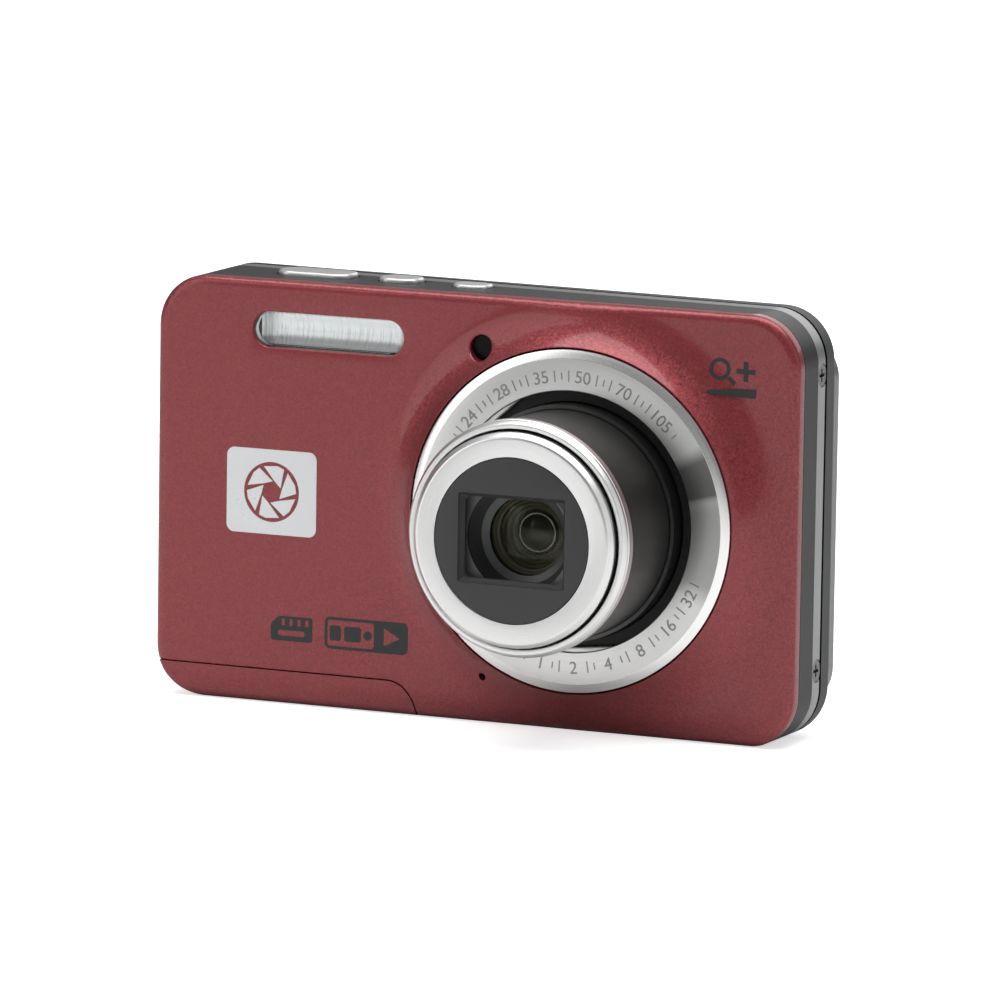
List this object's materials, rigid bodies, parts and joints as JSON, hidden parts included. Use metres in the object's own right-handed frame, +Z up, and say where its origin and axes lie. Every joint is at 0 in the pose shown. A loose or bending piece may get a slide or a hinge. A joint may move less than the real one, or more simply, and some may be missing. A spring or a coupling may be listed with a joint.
{
  "type": "compact digital camera",
  "caption": "Pocket digital camera with an extended telescoping zoom lens, metallic front shell, silver lens ring, flash window, top keys and a rear screen.",
  "frame": {"origin": "centre of the camera's base, on the surface it stands on", "axes": "+X towards the lens end, which is on the right seen from the front; -Y forwards along the lens; +Z up"},
  "size_m": [0.0914, 0.039, 0.0571],
  "materials": {
    "red_paint": "metallic flake paint, satin clear coat",
    "frame_grey": "gunmetal paint, satin",
    "trim_silver": "fine satin",
    "rear_grey": "fine texture",
    "screen_edge": "semi-gloss",
    "pane": "clear, polished",
    "display": "polished",
    "ring_silver": "spun face, polished bevel",
    "barrel_black": "satin",
    "barrel_silver": "spun satin",
    "face_black": "fine matte",
    "blade_black": "matte",
    "cell_black": "ribbed, matte",
    "retainer_grey": "anodised",
    "lens_glass": "multi-coated",
    "key_silver": "satin plated",
    "key_grey": "satin metallic",
    "gear_nylon": "moulded",
    "motor_steel": "drawn",
    "board_green": "solder mask",
    "flash_clear": "ribbed clear",
    "reflector": "bright",
    "tube_glass": "clear",
    "capacitor": "shrink sleeve",
    "battery_wrap": "moulded",
    "contact_gold": "plated",
    "sheet_steel": "pressed",
    "screw_steel": "blackened",
    "chassis_black": "moulded",
    "sensor_glass": "cover glass",
    "bush_steel": "turned",
    "latch_black": "ribbed"
  },
  "bodies": {
    "camera_body": {"front_cover": "red_paint", "mid_frame": "frame_grey", "trim_band": "trim_silver", "rear_cover": "rear_grey", "screen_frame": "screen_edge", "screen_pane": "pane", "display_panel": "display", "lens_ring": "ring_silver", "lens_housing": "cell_black", "zoom_motor": "motor_steel", "image_sensor": "sensor_glass", "flash_window": "flash_clear", "flash_reflector": "reflector", "flash_tube": "tube_glass", "flash_board": "board_green", "flash_capacitor": "capacitor", "focus_lamp": "tube_glass", "microphone": "sheet_steel", "speaker": "chassis_black", "top_key_board": "board_green", "shutter_spring": "sheet_steel", "rear_key_board": "board_green", "main_board": "board_green", "chassis": "chassis_black", "battery": "battery_wrap", "battery_contacts": "contact_gold", "card_socket": "sheet_steel", "usb_connector": "sheet_steel", "door_hinge_pin": "sheet_steel", "tripod_bush": "bush_steel", "case_screws": "screw_steel"},
    "cam_ring": {"cam_ring": "chassis_black"},
    "idler": {"idler_gear": "gear_nylon"},
    "pinion": {"motor_pinion": "motor_steel"},
    "base_barrel": {"base_barrel": "barrel_black"},
    "outer_barrel": {"outer_barrel": "barrel_black", "barrel_rim": "barrel_silver"},
    "inner_barrel": {"inner_barrel": "barrel_silver", "lens_face_plate": "face_black", "lens_cell": "cell_black", "lens_retainer": "retainer_grey", "front_lens": "lens_glass", "aperture_plate": "cell_black"},
    "blade_upper": {"barrier_blade_upper": "blade_black"},
    "blade_lower": {"barrier_blade_lower": "blade_black"},
    "zoom_group": {"zoom_carrier": "cell_black", "zoom_lens": "lens_glass"},
    "focus_group": {"focus_lens": "lens_glass"},
    "shutter_key": {"shutter_button": "key_silver"},
    "power_key": {"power_button": "key_silver"},
    "mode_key": {"mode_button": "key_silver"},
    "zoom_rocker": {"zoom_rocker": "key_grey"},
    "nav_ring": {"nav_ring": "key_grey"},
    "ok_key": {"ok_button": "key_grey"},
    "record_key": {"record_button": "key_grey"},
    "playback_key": {"playback_button": "key_grey"},
    "menu_key": {"menu_button": "key_grey"},
    "delete_key": {"delete_button": "key_grey"},
    "battery_door": {"battery_door": "red_paint"},
    "door_latch": {"door_latch": "latch_black"}
  },
  "joints": [
    {"name": "cam_ring_spin", "type": "hinge", "parent": "camera_body", "child": "cam_ring", "pos_m": [0.0153, 0, 0.02825], "axis": [0, -1, 0], "range_deg": [-100, 0]},
    {"name": "idler_spin", "type": "hinge", "parent": "camera_body", "child": "idler", "pos_m": [0.03229, 0, 0.04059], "axis": [0, -1, 0], "range_deg": [0, 600]},
    {"name": "pinion_spin", "type": "hinge", "parent": "camera_body", "child": "pinion", "pos_m": [0.03601, 0, 0.0433], "axis": [0, -1, 0], "range_deg": [-1125, 0]},
    {"name": "base_barrel_slide", "type": "slide", "parent": "camera_body", "child": "base_barrel", "axis": [0, -1, 0], "range_m": [-0.003, 0]},
    {"name": "outer_barrel_slide", "type": "slide", "parent": "camera_body", "child": "outer_barrel", "axis": [0, -1, 0], "range_m": [-0.0141, 0]},
    {"name": "zoom_slide", "type": "slide", "parent": "outer_barrel", "child": "inner_barrel", "axis": [0, -1, 0], "range_m": [-0.0012, 0.005]},
    {"name": "zoom_group_slide", "type": "slide", "parent": "outer_barrel", "child": "zoom_group", "axis": [0, -1, 0], "range_m": [-0.00048, 0.002]},
    {"name": "focus_slide", "type": "slide", "parent": "camera_body", "child": "focus_group", "axis": [0, -1, 0], "range_m": [-0.0002, 0.0002]},
    {"name": "blade_upper_slide", "type": "slide", "parent": "inner_barrel", "child": "blade_upper", "axis": [0, 0, 1], "range_m": [-0.0057, 0]},
    {"name": "blade_lower_slide", "type": "slide", "parent": "inner_barrel", "child": "blade_lower", "axis": [0, 0, -1], "range_m": [-0.0057, 0]},
    {"name": "shutter_press", "type": "slide", "parent": "camera_body", "child": "shutter_key", "axis": [0, 0, -1], "range_m": [0, 0.0006], "deforming": ["shutter_spring"]},
    {"name": "power_press", "type": "slide", "parent": "camera_body", "child": "power_key", "axis": [0, 0, -1], "range_m": [0, 0.0005]},
    {"name": "mode_press", "type": "slide", "parent": "camera_body", "child": "mode_key", "axis": [0, 0, -1], "range_m": [0, 0.0005]},
    {"name": "zoom_rocker_tilt", "type": "hinge", "parent": "camera_body", "child": "zoom_rocker", "pos_m": [-0.03158, 0.00637, 0.047], "axis": [0, 0, 1], "range_deg": [-4, 4]},
    {"name": "nav_ring_tilt", "type": "hinge", "parent": "camera_body", "child": "nav_ring", "pos_m": [-0.03154, 0.00727, 0.026], "axis": [0, 0, 1], "range_deg": [-2.5, 2.5]},
    {"name": "ok_press", "type": "slide", "parent": "camera_body", "child": "ok_key", "axis": [-0.0435, -0.9991, 0], "range_m": [0, 0.0003]},
    {"name": "record_press", "type": "slide", "parent": "camera_body", "child": "record_key", "axis": [-0.0435, -0.9991, 0], "range_m": [0, 0.0003]},
    {"name": "playback_press", "type": "slide", "parent": "camera_body", "child": "playback_key", "axis": [-0.0435, -0.9991, 0], "range_m": [0, 0.0003]},
    {"name": "menu_press", "type": "slide", "parent": "camera_body", "child": "menu_key", "axis": [-0.0435, -0.9991, 0], "range_m": [0, 0.0003]},
    {"name": "delete_press", "type": "slide", "parent": "camera_body", "child": "delete_key", "axis": [-0.0435, -0.9991, 0], "range_m": [0, 0.0003]},
    {"name": "battery_door_swing", "type": "hinge", "parent": "camera_body", "child": "battery_door", "pos_m": [-0.0118, 0, 0.00083], "axis": [0, -1, 0], "range_deg": [0, 85]},
    {"name": "door_latch_slide", "type": "slide", "parent": "battery_door", "child": "door_latch", "axis": [0, 1, 0], "range_m": [0, 0.0012]}
  ],
  "couplings": [
    {"joint": "idler_spin", "follows": "cam_ring_spin", "ratio": -6},
    {"joint": "pinion_spin", "follows": "cam_ring_spin", "ratio": 11.25},
    {"joint": "base_barrel_slide", "follows": "cam_ring_spin", "m_per_rad": 0.0017188},
    {"joint": "outer_barrel_slide", "follows": "cam_ring_spin", "m_per_rad": 0.0080787},
    {"joint": "blade_upper_slide", "follows": "cam_ring_spin", "m_per_rad": 0.0032658},
    {"joint": "blade_lower_slide", "follows": "cam_ring_spin", "m_per_rad": 0.0032658},
    {"joint": "zoom_group_slide", "follows": "zoom_slide", "ratio": 0.4}
  ]
}
